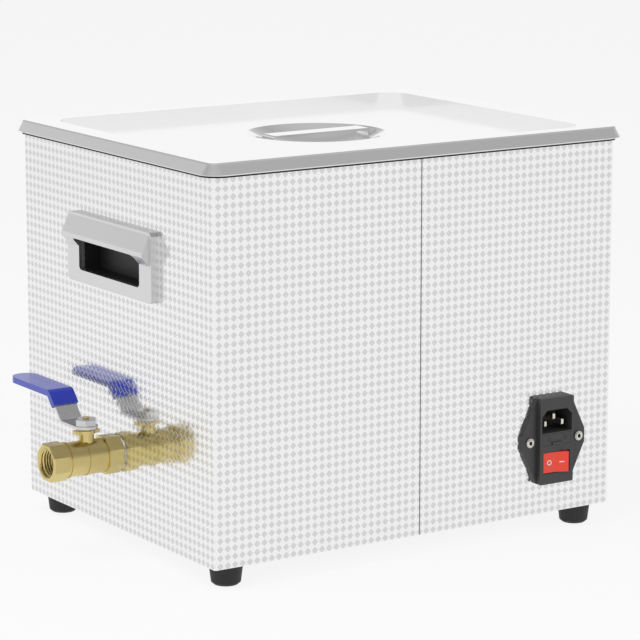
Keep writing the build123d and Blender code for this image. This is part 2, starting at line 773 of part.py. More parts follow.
with BuildPart() as handle_pocket:
    with BuildSketch(right_face.offset(-pocket_depth - pocket_wall)):
        with Locations((0, pocket_middle)):
            Rectangle(pocket_outer_width, pocket_outer_height)
    extrude(amount=pocket_depth + 2 * pocket_wall)
    with BuildSketch(right_face):
        with Locations((0, pocket_middle)):
            Rectangle(pocket_outer_width + 2 * 2.9, pocket_outer_height + 2 * 1.9)
    extrude(amount=pocket_wall)
    with BuildSketch(right_face.offset(-pocket_depth)):
        with Locations((0, pocket_middle)):
            RectangleRounded(pocket_outer_width - 2 * pocket_wall, pocket_high - pocket_low, 2.0)
    extrude(amount=pocket_depth + pocket_wall, mode=Mode.SUBTRACT)
pieces["handle_pocket_right"] = handle_pocket

with BuildPart() as handle_bezel_left:
    mirror(handle_bezel.part, about=Plane.YZ)
pieces["handle_bezel_left"] = handle_bezel_left

with BuildPart() as handle_pocket_left:
    mirror(handle_pocket.part, about=Plane.YZ)
pieces["handle_pocket_left"] = handle_pocket_left

with BuildPart() as handle_screws:
    for y, z in handle_screw_points:
        with Locations(Location((panel_inner_x, y, z), (0, 90, 0))):
            add(pan_screw(2.8, 1.8, handle_screw_radius, housing_sheet + bezel_thick - 1.6))
    mirror(handle_screws.part, about=Plane.YZ)
pieces["handle_screws"] = handle_screws

# ---------------------------------------------------------------- power inlet
front_of_module = inlet_flange_thick + inlet_block_thick
with BuildPart() as inlet_housing:
    ear_half = inlet_flange_width / 2
    tall_half = inlet_flange_height / 2
    block_half = inlet_block_width / 2
    with BuildSketch(inlet_plane):
        with BuildLine():
            Polyline(
                (-block_half, tall_half),
                (block_half, tall_half),
                (ear_half, 4.5),
                (ear_half, -4.5),
                (block_half, -tall_half),
                (-block_half, -tall_half),
                (-ear_half, -4.5),
                (-ear_half, 4.5),
                close=True,
            )
        flange_face = make_face()
        fillet(flange_face.vertices(), 2.0)
    extrude(amount=inlet_flange_thick)
    with BuildSketch(inlet_plane):
        RectangleRounded(inlet_block_width, inlet_flange_height, 1.2)
    extrude(amount=front_of_module)
    with BuildSketch(inlet_plane):
        Rectangle(inlet_block_width, inlet_back_height)
    extrude(amount=-inlet_back_depth)
    # the socket, with its two upper corners cut off
    with BuildSketch(inlet_plane.offset(front_of_module)):
        with Locations((0, socket_rise)):
            socket_rectangle = Rectangle(socket_width, socket_height)
        chamfer(socket_rectangle.vertices().group_by(Axis.Y)[-1], 4.0)
    extrude(amount=-socket_depth, mode=Mode.SUBTRACT)
    with BuildSketch(inlet_plane.offset(front_of_module)):
        with Locations((0, drawer_rise)):
            Rectangle(drawer_width, drawer_height)
    extrude(amount=-drawer_deep - slide_clearance, mode=Mode.SUBTRACT)
    with BuildSketch(inlet_plane.offset(front_of_module)):
        with Locations((0, -rocker_drop)):
            Rectangle(rocker_window_width, rocker_window_height)
    extrude(amount=-16.0, mode=Mode.SUBTRACT)
    with BuildSketch(inlet_plane):
        with GridLocations(inlet_screw_pitch, 0, 2, 1):
            Circle(inlet_screw_radius + hole_clearance)
    extrude(amount=inlet_flange_thick, mode=Mode.SUBTRACT)
pieces["inlet_housing"] = inlet_housing

socket_floor = front_of_module - socket_depth
pin_points = [(0, socket_rise + 2.5), (-7.0, socket_rise - 2.0), (7.0, socket_rise - 2.0)]
with BuildPart() as inlet_pins:
    with BuildSketch(inlet_plane.offset(socket_floor)):
        with Locations(*pin_points):
            Rectangle(2.0, 4.0)
    extrude(amount=socket_depth - 3.0)
    chamfer(inlet_pins.faces().filter_by(Axis.Y).group_by(Axis.Y)[-1].edges(), 0.5)
pieces["inlet_pins"] = inlet_pins

terminal_points = [(0, 17.0), (-8.0, 10.0), (8.0, 10.0), (-6.0, -14.0), (6.0, -14.0)]
with BuildPart() as inlet_terminals:
    with BuildSketch(inlet_plane.offset(-inlet_back_depth)):
        with Locations(*terminal_points):
            Rectangle(0.8, 6.3)
    extrude(amount=-8.0)
pieces["inlet_terminals"] = inlet_terminals

with BuildPart() as inlet_screws:
    for side in (-1, 1):
        screw_place = (inlet_x + side * inlet_screw_pitch / 2, half_depth + inlet_flange_thick, inlet_z)
        with Locations(Location(screw_place, (90, 0, 0))):
            add(pan_screw(3.1, 1.3, inlet_screw_radius, inlet_flange_thick + housing_sheet + 5.0))
pieces["inlet_screws"] = inlet_screws

drawer_inner_width = drawer_width - 2 * slide_clearance
drawer_inner_height = drawer_height - 2 * slide_clearance
fuse_radius = 2.6
fuse_depths = (6.5, 13.5)
with BuildPart() as fuse_drawer:
    with BuildSketch(inlet_plane.offset(front_of_module)):
        with Locations((0, drawer_rise)):
            Rectangle(drawer_inner_width, drawer_inner_height)
    extrude(amount=-drawer_deep)
    with BuildSketch(inlet_plane.offset(front_of_module)):
        with Locations((0, drawer_rise - drawer_inner_height / 2 + 1.0)):
            Rectangle(8.0, 1.6)
    extrude(amount=1.0)
    # two cradles open at the top, one for the live fuse and one for the spare
    for depth in fuse_depths:
        cradle_y = half_depth + front_of_module - depth
        with BuildSketch(Plane.YZ.offset(inlet_x - 10.2)):
            with Locations((cradle_y, inlet_z + drawer_rise)):
                Circle(fuse_radius)
            with Locations((cradle_y, inlet_z + drawer_rise + drawer_height / 2)):
                Rectangle(2 * fuse_radius, drawer_height)
        extrude(amount=20.4, mode=Mode.SUBTRACT)
pieces["fuse_drawer"] = fuse_drawer

with BuildPart() as fuses:
    for depth in fuse_depths:
        with Locations(
            Location((inlet_x, half_depth + front_of_module - depth, inlet_z + drawer_rise), (0, 90, 0))
        ):
            Cylinder(fuse_radius - 0.2, 20.0)
            Cylinder(fuse_radius, 5.0, align=(Align.CENTER, Align.CENTER, Align.MIN), mode=Mode.PRIVATE)
pieces["fuses"] = fuses

# rocker: a shallow V seen from above, drawn level and then tipped to its off position
rocker_pivot_back = 5.0
rocker_half = rocker_window_width / 2 - 1.6
rocker_z = inlet_z - rocker_drop
rocker_pivot = (inlet_x, half_depth + front_of_module - rocker_pivot_back)
rocker_low = rocker_z - rocker_window_height / 2 + 0.4
with BuildPart() as power_rocker:
    with BuildSketch(Plane.XY.offset(rocker_low)) as rocker_profile:
        with BuildLine():
            tip_rise = rocker_pivot_back + rocker_half * tan(radians(rocker_tilt)) - 0.6
            waist = rocker_pivot_back
            Polyline((-rocker_half, tip_rise), (0, waist - 0.4), (rocker_half, tip_rise))
            Line((rocker_half, tip_rise), (rocker_half - 2.0, -2.0))
            RadiusArc((rocker_half - 2.0, -2.0), (-rocker_half + 2.0, -2.0), rocker_half)
            Line((-rocker_half + 2.0, -2.0), (-rocker_half, tip_rise))
        make_face()
    extrude(amount=rocker_window_height - 0.8)
power_rocker.part = power_rocker.part.rotate(Axis.Z, rocker_tilt * -1)
power_rocker.part = power_rocker.part.moved(Location((rocker_pivot[0], rocker_pivot[1], 0)))
pieces["power_rocker"] = power_rocker

# ---------------------------------------------------------------- front control panel
button_points = [((i - (button_count - 1) / 2) * button_pitch, -button_drop) for i in range(button_count)]
with BuildPart() as control_panel:
    with BuildSketch(panel_plane):
        RectangleRounded(panel_width, panel_height, 5.0)
        with Locations((0, window_rise)):
            Rectangle(window_width, window_height, mode=Mode.SUBTRACT)
        with Locations(*button_points):
            RectangleRounded(button_width, button_height, 2.0, mode=Mode.SUBTRACT)
    extrude(amount=panel_thick)
    chamfer(control_panel.faces().sort_by(Axis.Y)[0].outer_wire().edges(), 0.8)
    with BuildSketch(panel_plane):
        with GridLocations(2 * panel_stud_x, 2 * panel_stud_y, 2, 2):
            Circle(panel_stud_radius)
    extrude(amount=-board_reach - board_thick)
pieces["control_panel"] = control_panel

with BuildPart() as panel_nuts:
    for face, points in (
        (panel_plane, [(sx * panel_stud_x, sy * panel_stud_y) for sx in (-1, 1) for sy in (-1, 1)]),
        (inlet_plane, [(-inlet_screw_pitch / 2, 0), (inlet_screw_pitch / 2, 0)]),
    ):
        with BuildSketch(face.offset(-housing_sheet)):
            with Locations(*points):
                RegularPolygon(2.75, 6, major_radius=False)
                Circle(panel_stud_radius, mode=Mode.SUBTRACT)
        extrude(amount=-2.4)
pieces["panel_nuts"] = panel_nuts

with BuildPart() as display_window:
    with BuildSketch(panel_plane.offset(panel_thick - 0.4)):
        with Locations((0, window_rise)):
            Rectangle(window_width, window_height)
    extrude(amount=-2.0)
pieces["display_window"] = display_window

with BuildPart() as panel_board:
    with BuildSketch(panel_plane.offset(-board_reach)):
        Rectangle(panel_width - 4.0, panel_height - 4.0)
        with GridLocations(2 * panel_stud_x, 2 * panel_stud_y, 2, 2):
            Circle(panel_stud_radius, mode=Mode.SUBTRACT)
    extrude(amount=-board_thick)
    # the two digit blocks that light the window
    with BuildSketch(panel_plane.offset(-board_reach)):
        with Locations((0, window_rise)):
            with GridLocations(window_width / 2, 0, 2, 1):
                Rectangle(window_width * 0.4, window_height * 0.8)
    extrude(amount=board_reach - 0.4 - 0.5)
pieces["panel_board"] = panel_board

with BuildPart() as tact_switches:
    with BuildSketch(panel_plane.offset(-board_reach)):
        with Locations(*button_points):
            Rectangle(6.0, 6.0)
    extrude(amount=2.4)
    with BuildSketch(panel_plane.offset(-board_reach + 2.4)):
        with Locations(*button_points):
            Circle(1.7)
    extrude(amount=board_reach - 2.4 - 1.3 - button_travel - 0.1)
pieces["tact_switches"] = tact_switches

button_names = ["timer_up", "timer_down", "heat_up", "heat_down", "heater_switch", "cleaning_switch"]
for button_name, (button_x, button_y) in zip(button_names, button_points):
    with BuildPart() as button:
        with BuildSketch(panel_plane.offset(-0.3)):
            with Locations((button_x, button_y)):
                RectangleRounded(button_width - 0.6, button_height - 0.6, 1.7)
        extrude(amount=panel_thick + 0.3 + button_proud)
        chamfer(button.faces().sort_by(Axis.Y)[0].edges(), 0.5)
        with BuildSketch(panel_plane.offset(-0.3)):
            with Locations((button_x, button_y)):
                Rectangle(button_width + 1.6, button_height + 1.6)
        extrude(amount=-1.0)
    pieces["button_" + button_name] = button

# ---------------------------------------------------------------- generator board
board_z = base_top + standoff_height
board_corners = (generator_width - 10.0, generator_depth - 10.0)
with BuildPart() as board_standoffs:
    with BuildSketch(Plane.XY.offset(base_top)):
        with Locations((generator_x, generator_y)):
            with GridLocations(*board_corners, 2, 2):
                RegularPolygon(3.0, 6, major_radius=False)
    extrude(amount=standoff_height)
pieces["board_standoffs"] = board_standoffs

with BuildPart() as generator_board:
    with BuildSketch(Plane.XY.offset(board_z)):
        with Locations((generator_x, generator_y)):
            Rectangle(generator_width, generator_depth)
    extrude(amount=board_thick)
pieces["generator_board"] = generator_board

board_top = board_z + board_thick
with BuildPart() as heat_sink:
    with BuildSketch(Plane.XY.offset(board_top)):
        with Locations((generator_x + 42.0, generator_y + 22.0)):
            Rectangle(50.0, 30.0)
    extrude(amount=4.0)
    with BuildSketch(Plane.XY.offset(board_top + 4.0)):
        with Locations((generator_x + 42.0, generator_y + 22.0)):
            with GridLocations(6.0, 0, 8, 1):
                Rectangle(1.6, 30.0)
    extrude(amount=16.0)
pieces["heat_sink"] = heat_sink

with BuildPart() as power_transistors:
    with BuildSketch(Plane.XY.offset(board_top)):
        with Locations((generator_x + 42.0, generator_y - 4.0)):
            with GridLocations(22.0, 0, 2, 1):
                Rectangle(16.0, 5.0)
    extrude(amount=20.0)
pieces["power_transistors"] = power_transistors

with BuildPart() as transformer_core:
    with BuildSketch(Plane.XY.offset(board_top)):
        with Locations((generator_x - 10.0, generator_y)):
            Rectangle(34.0, 12.0)
    extrude(amount=26.0)
    with BuildSketch(Plane.XZ.offset(-generator_y - 6.0)):
        with Locations((generator_x - 10.0, board_top + 13.0)):
            with GridLocations(18.0, 0, 2, 1):
                Rectangle(8.0, 16.0)
    extrude(amount=12.0, mode=Mode.SUBTRACT)
pieces["transformer_core"] = transformer_core

with BuildPart() as transformer_coil:
    with BuildSketch(Plane.XY.offset(board_top + 5.2)):
        with Locations((generator_x - 10.0, generator_y)):
            RectangleRounded(25.6, 27.0, 6.0)
            Rectangle(10.2, 12.2, mode=Mode.SUBTRACT)
    extrude(amount=15.6)
pieces["transformer_coil"] = transformer_coil

with BuildPart() as capacitors:
    with BuildSketch(Plane.XY.offset(board_top)):
        with Locations((generator_x - 52.0, generator_y + 18.0), (generator_x - 52.0, generator_y - 12.0)):
            Circle(11.0)
    extrude(amount=24.0)
pieces["capacitors"] = capacitors

# ---------------------------------------------------------------- lid
with BuildPart() as lid_pan:
    with BuildSketch(Plane.XY.offset(flange_top)):
        RectangleRounded(
            housing_width + 2 * lid_lip_overhang, housing_depth + 2 * lid_lip_overhang, lid_lip_corner
        )
    extrude(amount=lid_height, taper=degrees(atan2(lid_draft, lid_height)))
    fillet(lid_pan.faces().sort_by(Axis.Z)[-1].edges(), lid_fold_radius)
    offset(amount=-lid_sheet, openings=lid_pan.faces().sort_by(Axis.Z)[0])
    tray_outer_x = tank_width - 2 * tray_margin + 2 * lid_sheet
    tray_outer_y = tank_depth_y - 2 * tray_margin + 2 * lid_sheet
    with BuildSketch(Plane.XY.offset(tray_floor - lid_sheet)):
        RectangleRounded(tray_outer_x, tray_outer_y, tray_corner + lid_sheet)
    extrude(amount=tray_depth + lid_sheet)
    with BuildSketch(Plane.XY.offset(tray_floor)):
        RectangleRounded(tray_outer_x - 2 * lid_sheet, tray_outer_y - 2 * lid_sheet, tray_corner)
    extrude(amount=tray_depth, mode=Mode.SUBTRACT)
    # shallow round dish under the strap
    dish_sphere = (dish_radius**2 + dish_depth**2) / (2 * dish_depth)
    dish_centre = tray_floor + dish_sphere - dish_depth
    with BuildSketch(Plane.XY.offset(tray_floor)):
        Circle(dish_radius)
    extrude(amount=-lid_sheet, mode=Mode.SUBTRACT)
    outer_edge_r = sqrt((dish_sphere + lid_sheet) ** 2 - (dish_centre - tray_floor + lid_sheet) ** 2)
    with BuildSketch(Plane.XZ):
        with BuildLine():
            rim_top = (dish_radius, tray_floor)
            rim_low = (outer_edge_r, tray_floor - lid_sheet)
            centre_top = (0, tray_floor - dish_depth)
            centre_low = (0, tray_floor - dish_depth - lid_sheet)
            RadiusArc(centre_top, rim_top, -dish_sphere)
            Line(rim_top, rim_low)
            RadiusArc(rim_low, centre_low, dish_sphere + lid_sheet)
            Line(centre_low, centre_top)
        make_face()
    revolve(axis=Axis.Z)
pieces["lid_pan"] = lid_pan

with BuildPart() as lid_handle:
    half_strap = strap_length / 2
    strap_top = tray_floor + strap_rise
    foot_end = half_strap + strap_foot
    with BuildSketch(Plane.XZ):
        with BuildLine():
            Polyline(
                (0, strap_top),
                (half_strap, strap_top),
                (half_strap, tray_floor - 2.4),
                (foot_end, tray_floor - 0.2),
                (foot_end, tray_floor - 5.0),
                (half_strap - strap_thick, tray_floor - 7.0),
                (half_strap - strap_thick, strap_top - strap_thick),
                (0, strap_top - strap_thick),
                close=True,
            )
        make_face()
        mirror(about=Plane.YZ)
    extrude(amount=strap_width / 2, both=True)
    fillet(lid_handle.edges().filter_by(Axis.Y).group_by(Axis.Z)[-1], 1.4)
    with Locations((0, 0, dish_centre)):
        Sphere(dish_sphere, mode=Mode.INTERSECT)
pieces["lid_handle"] = lid_handle

# ---------------------------------------------------------------- out
os.makedirs("parts", exist_ok=True)
for name, piece in pieces.items():
    shifted = piece.part.moved(Location((footprint_shift, 0, 0)))
    shifted.label = name
    export_step(shifted, f"parts/{name}.step")
print(f"{len(pieces)} nodes, footprint shift {footprint_shift:.2f} mm")
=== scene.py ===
import bpy
import json
import math
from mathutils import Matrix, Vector


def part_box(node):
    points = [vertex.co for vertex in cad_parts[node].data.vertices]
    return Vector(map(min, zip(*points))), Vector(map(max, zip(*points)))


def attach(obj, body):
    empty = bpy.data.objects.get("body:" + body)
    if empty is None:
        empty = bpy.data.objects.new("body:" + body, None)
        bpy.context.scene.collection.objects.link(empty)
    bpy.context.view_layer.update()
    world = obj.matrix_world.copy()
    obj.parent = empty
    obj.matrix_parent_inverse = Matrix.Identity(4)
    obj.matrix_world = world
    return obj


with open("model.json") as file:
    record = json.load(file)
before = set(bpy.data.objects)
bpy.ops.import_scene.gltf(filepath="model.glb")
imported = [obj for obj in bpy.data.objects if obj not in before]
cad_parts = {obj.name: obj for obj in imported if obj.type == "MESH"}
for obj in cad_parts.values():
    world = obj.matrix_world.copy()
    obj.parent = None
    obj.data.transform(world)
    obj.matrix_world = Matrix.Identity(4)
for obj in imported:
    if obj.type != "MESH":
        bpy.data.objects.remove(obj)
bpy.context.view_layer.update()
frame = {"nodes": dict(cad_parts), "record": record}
nodes = frame["nodes"]
print("frame loaded:", len(nodes), "nodes")

# where the housing is, in metres
shellLow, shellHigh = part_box("housing_shell")
shellMidX = (shellLow[0] + shellHigh[0]) / 2
xAxis, zAxis = (1, 0, 0), (0, 0, 1)


class Signal:
    # one socket of a material, so that shader maths can be written as sums
    def __init__(self, look, socket):
        self.look = look
        self.socket = socket

    def output(self, key):
        # another output of the same node
        return Signal(self.look, self.socket.node.outputs[key])

    def __add__(self, other):
        return self.look.math("ADD", self, other)

    def __radd__(self, other):
        return self.look.math("ADD", other, self)

    def __sub__(self, other):
        return self.look.math("SUBTRACT", self, other)

    def __rsub__(self, other):
        return self.look.math("SUBTRACT", other, self)

    def __mul__(self, other):
        return self.look.math("MULTIPLY", self, other)

    def __rmul__(self, other):
        return self.look.math("MULTIPLY", other, self)

    def __truediv__(self, other):
        return self.look.math("DIVIDE", self, other)

    def __rtruediv__(self, other):
        return self.look.math("DIVIDE", other, self)

    def __abs__(self):
        return self.look.math("ABSOLUTE", self)


class Look:
    # the nodes of one material, or of the world when it is given as owner
    def __init__(self, name, owner=None):
        self.owner = owner or bpy.data.materials.new(name)
        self.owner.use_nodes = True
        self.tree = self.owner.node_tree
        self.tree.nodes.clear()
        kind = "ShaderNodeOutputWorld" if owner else "ShaderNodeOutputMaterial"
        self.end = self.tree.nodes.new(kind)

    def node(self, kind, settings=None, sockets=None, out=0):
        made = self.tree.nodes.new(kind)
        for key, value in (settings or {}).items():
            if key == "stops":
                self.setStops(made.color_ramp, value)
            else:
                setattr(made, key, value)
        for key, value in (sockets or {}).items():
            if isinstance(value, Signal):
                self.tree.links.new(value.socket, made.inputs[key])
            else:
                made.inputs[key].default_value = value
        return Signal(self, made.outputs[out])

    def setStops(self, ramp, stops):
        while len(ramp.elements) > 1:
            ramp.elements.remove(ramp.elements[-1])
        for i, (place, shade) in enumerate(stops):
            stop = ramp.elements[0] if i == 0 else ramp.elements.new(place)
            stop.position = place
            stop.color = (shade, shade, shade, 1)

    def finish(self, shader):
        self.tree.links.new(shader.socket, self.end.inputs[0])
        return self.owner

    def math(self, operation, *values):
        return self.node("ShaderNodeMath", {"operation": operation}, dict(enumerate(values)))

    def place(self):
        return self.node("ShaderNodeTexCoord", out="Object")

    def parts(self, vector):
        split = self.node("ShaderNodeSeparateXYZ", {}, {0: vector})
        return [split.output(i) for i in range(3)]

    def mix(self, factor, first, second):
        settings = {"data_type": "RGBA", "clamp_factor": True}
        return self.node("ShaderNodeMix", settings, {0: factor, 6: first, 7: second}, out=2)

    def ease(self, value, low, high):
        # 0 below low, 1 above high and a smooth rise between them
        settings = {"interpolation_type": "SMOOTHSTEP"}
        return self.node("ShaderNodeMapRange", settings, {0: value, 1: low, 2: high})

    def noise(self, scale, detail=3.0, roughness=0.5, stretch=None):
        vector = self.place()
        if stretch:
            vector = self.node("ShaderNodeVectorMath", {"operation": "MULTIPLY"}, {0: vector, 1: stretch})
        sockets = {"Vector": vector, "Scale": scale, "Detail": detail, "Roughness": roughness}
        return self.node("ShaderNodeTexNoise", {}, sockets)

    def bump(self, height, distance):
        return self.node("ShaderNodeBump", {}, {"Strength": 1.0, "Distance": distance, "Height": height})

    def surface(self, sockets):
        return self.finish(self.node("ShaderNodeBsdfPrincipled", {}, sockets))


def linear(level):
    # a screen level from 0 to 255 as an amount of light
    level = level / 255
    return ((level + 0.055) / 1.055) ** 2.4 if level > 0.04 else level / 12.92


def colour(red, green, blue):
    return linear(red), linear(green), linear(blue), 1


def grey(level):
    return colour(level, level, level)


def toned(shade, factor, lift=0.0):
    return tuple(min(1.0, c * factor + lift) for c in shade[:3]) + (1,)


housingLook = {
    "pitch": 0.00536,       # diamonds are this far apart both ways
    "diamond": 0.47,        # half diagonal as a share of the pitch
    "inside": 0.06,         # the soft edge of a diamond, inwards and outwards
    "outside": 0.04,
    "roundness": 0.15,
    # light is the flat steel; dark is painted shade on the raised diamonds, standing in for the dimmer
    # reflection of their tilted faces
    "light": grey(243),
    "dark": grey(216),
    "haze": grey(225),
    "depth": 0.00007,
    # the rear seam's half width and its painted shade, a grey standing in for the shadow inside the gap
    "seamHalf": 0.0004,
    "paintedSeamShadow": grey(150),
}


def diamondSteel():
    look = Look("diamondSteel")
    pitch, diamond = housingLook["pitch"], housingLook["diamond"]
    x, y, z = look.parts(look.place())
    normalX, normalY = look.parts(look.node("ShaderNodeNewGeometry", out="Normal"))[:2]
    endFace = look.math("GREATER_THAN", abs(normalX), 0.7)
    rearFace = look.math("GREATER_THAN", normalY, 0.5)
    along = (x - shellMidX) * (1 - endFace) + y * endFace
    u = abs(look.math("FRACT", along / pitch + 0.5) - 0.5)
    v = abs(look.math("FRACT", z / pitch + 0.5) - 0.5)
    reach = u + v + (u * u + v * v) * housingLook["roundness"]
    mask = 1 - look.ease(reach, diamond - housingLook["inside"], diamond + housingLook["outside"])
    # painted shade: a thin grey, matt band down the rear seam stands in for the shadow inside its gap
    seam = rearFace * look.math("LESS_THAN", abs(x - shellMidX), housingLook["seamHalf"])
    haze = look.noise(9.0, 2.0)
    fine = look.noise(900.0, 2.0, 0.6)
    # painted shading: the raised diamonds are painted darker than the flat steel, for the dimmer
    # reflection of their tilted faces
    diamondShading = look.mix(mask, housingLook["light"], housingLook["dark"])
    steel = look.mix(haze * 0.10, diamondShading, housingLook["haze"])
    pillow = mask * (1 - reach * 0.8)
    return look.surface({
        "Base Color": look.mix(seam, steel, housingLook["paintedSeamShadow"]),
        "Metallic": 1 - seam * 0.6,
        "Roughness": 0.07 + haze * 0.04 + mask * 0.08 + seam * 0.4,
        "Normal": look.bump(pillow + fine * 0.02, housingLook["depth"]),
    })


def polishedSteel(name, shade, rough, grain=0.00001):
    look = Look(name)
    haze = look.noise(14.0)
    lines = look.noise(60.0, 3.0, 0.6, (1.0, 14.0, 3.0))
    return look.surface({
        "Base Color": look.mix(haze * 0.25, shade, toned(shade, 0.92)),
        "Metallic": 1.0,
        "Roughness": rough + haze * 0.06 + lines * 0.03,
        "Normal": look.bump(lines, grain),
    })


def satinMetal(name, shade, rough):
    look = Look(name)
    blast = look.noise(1400.0, 2.0, 0.7)
    haze = look.noise(22.0)
    return look.surface({
        "Base Color": look.mix(haze * 0.3, shade, toned(shade, 0.9)),
        "Metallic": 1.0,
        "Roughness": rough + blast * 0.08,
        "Normal": look.bump(blast, 0.00003),
    })


brassLook = {"light": colour(226, 208, 146), "dark": colour(205, 186, 122), "rough": 0.24, "cast": 0.00005}


def brassMetal():
    look = Look("castBrass")
    blast = look.noise(1100.0, 3.0, 0.65)
    tone = look.noise(45.0)
    return look.surface({
        "Base Color": look.mix(tone, brassLook["light"], brassLook["dark"]),
        "Metallic": 1.0,
        "Roughness": brassLook["rough"] + blast * 0.12,
        "Normal": look.bump(blast + tone * 0.4, brassLook["cast"]),
    })


def mouldedPlastic(name, shade, rough, grain=700.0, depth=0.00004, coat=0.0):
    look = Look(name)
    fine = look.noise(grain, 3.0, 0.6)
    tone = look.noise(30.0, 2.0)
    return look.surface({
        "Base Color": look.mix(tone * 0.35, shade, toned(shade, 1.18, 0.002)),
        "Metallic": 0.0,
        "Roughness": rough + fine * 0.10 + tone * 0.04,
        "Coat Weight": coat,
        "Coat Roughness": 0.12,
        "Normal": look.bump(fine, depth),
    })


boardLook = {"mask": colour(18, 96, 56), "track": colour(30, 128, 76), "fineness": 240.0}


def circuitBoard():
    look = Look("circuitBoard")
    sockets = {"Vector": look.place(), "Scale": boardLook["fineness"]}
    tracks = look.node("ShaderNodeTexVoronoi", {"distance": "MANHATTAN"}, sockets)
    copper = look.ease(tracks, 0.30, 0.34)
    return look.surface({
        "Base Color": look.mix(copper, boardLook["mask"], boardLook["track"]),
        "Roughness": 0.3 + copper * 0.1,
        "Coat Weight": 0.4,
        "Normal": look.bump(copper, 0.00003),
    })


def clearGlass():
    look = Look("fuseGlass")
    smear = look.noise(300.0)
    return look.surface({
        "Base Color": look.mix(smear, grey(235), grey(215)),
        "Roughness": 0.04 + smear * 0.05,
        "Transmission Weight": 0.9,
        "IOR": 1.5,
    })


# one finish for each slot of the frame: shade, roughness, then grain, its depth and a clear coat
finishes = {
    "housing_steel": diamondSteel(),
    "base_steel": polishedSteel("brushedBase", grey(196), 0.30, 0.00003),
    "screw_zinc": satinMetal("zincPlate", grey(214), 0.24),
    "foot_rubber": mouldedPlastic("footRubber", grey(34), 0.55, 500.0, 0.00008),
    "gasket_rubber": mouldedPlastic("gasketRubber", grey(16), 0.6, 800.0, 0.00005),
    "tank_steel": polishedSteel("drawnSteel", grey(228), 0.12),
    "lid_steel": polishedSteel("polishedSteel", grey(244), 0.07),
    "bezel_satin": satinMetal("satinBezel", grey(222), 0.30),
    "pocket_black": mouldedPlastic("pocketBlack", grey(26), 0.42),
    "brass": brassMetal(),
    "ball_chrome": polishedSteel("chromedBall", grey(230), 0.05),
    "seat_ptfe": mouldedPlastic("seatWhite", grey(226), 0.35),
    "sleeve_blue": mouldedPlastic("dippedBlue", colour(22, 48, 178), 0.30, 300.0, 0.00003, 0.6),
    "hose_rubber": mouldedPlastic("hoseSilicone", grey(205), 0.4),
    "clamp_steel": satinMetal("clampSteel", grey(190), 0.32),
    "transducer_alu": satinMetal("turnedAluminium", grey(214), 0.30),
    "piezo_ceramic": mouldedPlastic("ceramicRing", colour(206, 198, 170), 0.3),
    "heater_silicone": mouldedPlastic("heaterOrange", colour(196, 88, 40), 0.5),
    "inlet_black": mouldedPlastic("inletBlack", grey(58), 0.38, 900.0, 0.00004),
    "pin_nickel": satinMetal("nickelPlate", colour(222, 220, 210), 0.18),
    "fuse_glass": clearGlass(),
    "rocker_red": mouldedPlastic("rockerRed", colour(248, 58, 24), 0.26, 900.0, 0.00001, 0.5),
    "panel_plastic": mouldedPlastic("panelCharcoal", grey(62), 0.42, 900.0, 0.00004),
    "window_acrylic": mouldedPlastic("smokedWindow", grey(14), 0.06, 200.0, 0.000002, 0.8),
    "board_green": circuitBoard(),
    "switch_black": mouldedPlastic("componentBlack", grey(40), 0.4),
    "coil_copper": satinMetal("windingCopper", colour(206, 128, 82), 0.3),
    "standoff_brass": satinMetal("standoffBrass", colour(214, 190, 120), 0.26),
    "button_grey": mouldedPlastic("keyGrey", grey(150), 0.45),
}
markWhite = mouldedPlastic("markWhite", grey(246), 0.35)
shadowBlack = mouldedPlastic("shadowBlack", grey(10), 0.7)
digitRed = mouldedPlastic("digitRed", colour(150, 24, 18), 0.3)

slotOf = {s["node"]: s["material_slot"] for s in frame["record"]["subparts"]}
for name, ob in nodes.items():
    for slot in ob.material_slots:
        slot.material = finishes[slotOf[name]]
print("finishes made:", len(finishes))


def addMesh(name, verts, faces, finish, body, smooth=False):
    mesh = bpy.data.meshes.new(name)
    mesh.from_pydata([tuple(v) for v in verts], [], faces)
    mesh.materials.append(finish)
    if smooth:
        mesh.polygons.foreach_set("use_smooth", [True] * len(mesh.polygons))
    made = bpy.data.objects.new(name, mesh)
    bpy.context.collection.objects.link(made)
    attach(made, body)
    return made


ridge = {
    "perTurn": 36,          # cuts in one turn of a thread
    "fade": 12,             # cuts over which it runs out at each end
    "halfFoot": 0.42,       # half of its foot as a share of the pitch
    "sink": 0.1,            # how far the foot goes into the wall as a share of its height
}


def sweptRidge(name, start, axis, base, crest, pitch, length, body):
    # a triangular ridge of brass wound round an axis: crest inside base for a nut, outside it for a screw
    axis = Vector(axis)
    side = axis.orthogonal().normalized()
    other = axis.cross(side)
    count = int(ridge["perTurn"] * length / pitch)
    foot = axis * pitch * ridge["halfFoot"]
    sink = base + (base - crest) * ridge["sink"]
    verts, faces = [], []
    for i in range(count + 1):
        turn = 2 * math.pi * i / ridge["perTurn"]
        outward = side * math.cos(turn) + other * math.sin(turn)
        middle = Vector(start) + axis * (pitch * i / ridge["perTurn"])
        top = base + (crest - base) * min(1.0, i / ridge["fade"], (count - i) / ridge["fade"])
        verts += [middle + outward * sink - foot, middle + outward * top, middle + outward * sink + foot]
        if i:
            a, b = 3 * (i - 1), 3 * i
            faces += [(a, a + 1, b + 1, b), (a + 1, a + 2, b + 2, b + 1), (a + 2, a, b, b + 2)]
    faces += [(0, 2, 1), (3 * count, 3 * count + 1, 3 * count + 2)]
    return addMesh(name, verts, faces, finishes["brass"], body)


def slab(name, centre, right, outline, thick, finish, body):
    # a flat upright mark: an outline to the right and up, standing proud along their cross product
    right, up = Vector(right).normalized(), Vector(zAxis)
    out = right.cross(up)
    count = len(outline)
    flat = [Vector(centre) + right * u + up * v for u, v in outline]
    verts = [p - out * thick for p in flat] + [p + out * thick for p in flat]
    faces = [tuple(range(count))[::-1], tuple(range(count, 2 * count))]
    faces += [(i, (i + 1) % count, count + (i + 1) % count, count + i) for i in range(count)]
    return addMesh(name, verts, faces, finish, body)


bead = {"around": 32, "across": 8}


